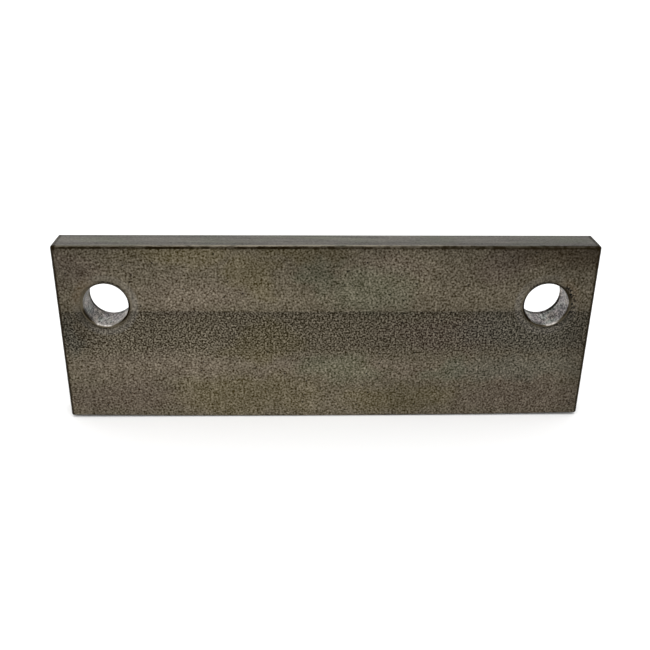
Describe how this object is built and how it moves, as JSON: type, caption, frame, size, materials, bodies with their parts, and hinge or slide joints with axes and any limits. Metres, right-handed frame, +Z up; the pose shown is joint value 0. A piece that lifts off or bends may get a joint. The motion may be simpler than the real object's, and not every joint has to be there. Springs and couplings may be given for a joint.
{
  "type": "idler guide plate",
  "caption": "Thick rectangular steel plate, cut from flat bar, with a round bolt hole drilled through near each upper corner; guides and spaces an idler.",
  "frame": {"origin": "centre of the plate's lower long edge, midway through its thickness", "axes": "+X along the plate's length, +Y through its thickness from the rubbing face to the back face, +Z up towards the edge that the two holes are near"},
  "size_m": [0.182, 0.012, 0.065],
  "materials": {
    "hot_rolled_steel": "dark brown-grey mill surface, finely pitted, with smoother long edges and bare drilled bores"
  },
  "bodies": {
    "root": {"guide_plate": "hot_rolled_steel"}
  },
  "joints": []
}
